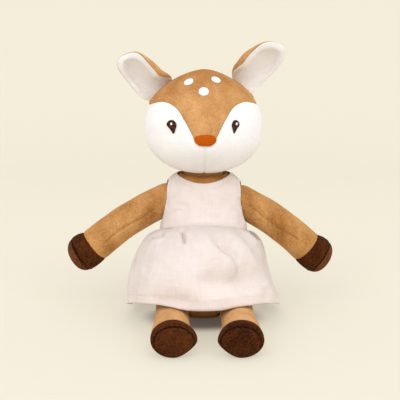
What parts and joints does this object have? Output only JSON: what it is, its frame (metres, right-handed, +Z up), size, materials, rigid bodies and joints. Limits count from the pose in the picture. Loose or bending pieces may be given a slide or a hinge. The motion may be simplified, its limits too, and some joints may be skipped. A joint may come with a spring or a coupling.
{
  "type": "plush fawn doll",
  "caption": "Seated plush fawn with a round head, cupped ears, stuffed arms and legs with dark hoof ends, and a sleeveless gathered dress that buttons at the back.",
  "frame": {"origin": "on the floor, under the middle of the bounding box of the seated toy", "axes": "+Z up, the face looks along -Y, +X is the toy's own left side (the viewer's right in the picture)"},
  "size_m": [0.2442, 0.1766, 0.2453],
  "materials": {
    "velour_tan": "short pile, matte",
    "velour_white": "short pile, matte",
    "velour_brown": "short pile, matte",
    "dress_cotton": "fine woven cotton, matte",
    "dress_thread": "thread, matte",
    "thread_dark": "satin stitch",
    "thread_white": "satin stitch",
    "thread_orange": "satin stitch",
    "fibre_filling": "loose fibre",
    "pouch_cloth": "plain woven, matte",
    "button_plastic": "satin"
  },
  "bodies": {
    "body": {"body_front": "velour_tan", "body_back": "velour_tan", "body_seat": "velour_tan", "body_filling": "fibre_filling", "pellet_pouch": "pouch_cloth", "bodice_front": "dress_cotton", "bodice_back_left": "dress_cotton", "bodice_back_right": "dress_cotton", "skirt_front": "dress_cotton", "skirt_back_left": "dress_cotton", "skirt_back_right": "dress_cotton", "button_upper": "button_plastic", "button_lower": "button_plastic", "button_loop_upper": "dress_thread", "button_loop_lower": "dress_thread"},
    "neck": {"neck": "velour_tan"},
    "head": {"forehead": "velour_tan", "cheek_left": "velour_white", "cheek_right": "velour_white", "back_of_head_left": "velour_tan", "back_of_head_right": "velour_tan", "head_filling": "fibre_filling", "eye_left": "thread_dark", "eye_right": "thread_dark", "eye_glint_left": "thread_white", "eye_glint_right": "thread_white", "brow_spot_left": "thread_white", "brow_spot_right": "thread_white", "brow_spot_middle": "thread_white", "nose": "thread_orange"},
    "ear_left": {"ear_back_left": "velour_tan", "ear_lining_left": "velour_white"},
    "ear_right": {"ear_back_right": "velour_tan", "ear_lining_right": "velour_white"},
    "arm_left": {"arm_left": "velour_tan", "arm_hoof_band_left": "velour_brown", "arm_hoof_pad_left": "velour_brown", "arm_filling_left": "fibre_filling"},
    "arm_right": {"arm_right": "velour_tan", "arm_hoof_band_right": "velour_brown", "arm_hoof_pad_right": "velour_brown", "arm_filling_right": "fibre_filling"},
    "leg_left": {"leg_left": "velour_tan", "leg_hoof_band_left": "velour_brown", "leg_hoof_pad_left": "velour_brown", "leg_filling_left": "fibre_filling"},
    "leg_right": {"leg_right": "velour_tan", "leg_hoof_band_right": "velour_brown", "leg_hoof_pad_right": "velour_brown", "leg_filling_right": "fibre_filling"},
    "tail": {"tail_top": "velour_tan", "tail_underside": "velour_white"}
  },
  "joints": [
    {"name": "neck_turn", "type": "hinge", "parent": "body", "child": "neck", "pos_m": [0.00234, 0.04544, 0.133], "axis": [0, 0, 1], "range_deg": [-30, 30], "stiffness_Nm_per_rad": 0.1},
    {"name": "head_nod", "type": "hinge", "parent": "neck", "child": "head", "pos_m": [0.00234, 0.04544, 0.133], "axis": [1, 0, 0], "range_deg": [-12, 6], "stiffness_Nm_per_rad": 0.4},
    {"name": "ear_left_fold", "type": "hinge", "parent": "head", "child": "ear_left", "pos_m": [0.0388, 0.0639, 0.20053], "axis": [0.7248, 0.019, -0.6887], "range_deg": [-20, 20], "stiffness_Nm_per_rad": 0.03},
    {"name": "ear_right_fold", "type": "hinge", "parent": "head", "child": "ear_right", "pos_m": [-0.03889, 0.06187, 0.19663], "axis": [0.6505, 0.017, 0.7593], "range_deg": [-20, 15], "stiffness_Nm_per_rad": 0.03},
    {"name": "shoulder_left", "type": "hinge", "parent": "body", "child": "arm_left", "pos_m": [0.03634, 0.04064, 0.101], "axis": [0, -1, 0], "range_deg": [0, 60]},
    {"name": "shoulder_right", "type": "hinge", "parent": "body", "child": "arm_right", "pos_m": [-0.03166, 0.04087, 0.1025], "axis": [0, 1, 0], "range_deg": [0, 60]},
    {"name": "hip_left", "type": "hinge", "parent": "body", "child": "leg_left", "pos_m": [0.03084, 0.00949, 0.0132], "axis": [1, 0, 0], "range_deg": [0, 80]},
    {"name": "hip_right", "type": "hinge", "parent": "body", "child": "leg_right", "pos_m": [-0.02616, 0.00949, 0.0132], "axis": [1, 0, 0], "range_deg": [0, 80]},
    {"name": "tail_fold", "type": "hinge", "parent": "body", "child": "tail", "pos_m": [0.00234, 0.07004, 0.046], "axis": [1, 0, 0], "range_deg": [-15, 12], "stiffness_Nm_per_rad": 0.01}
  ]
}
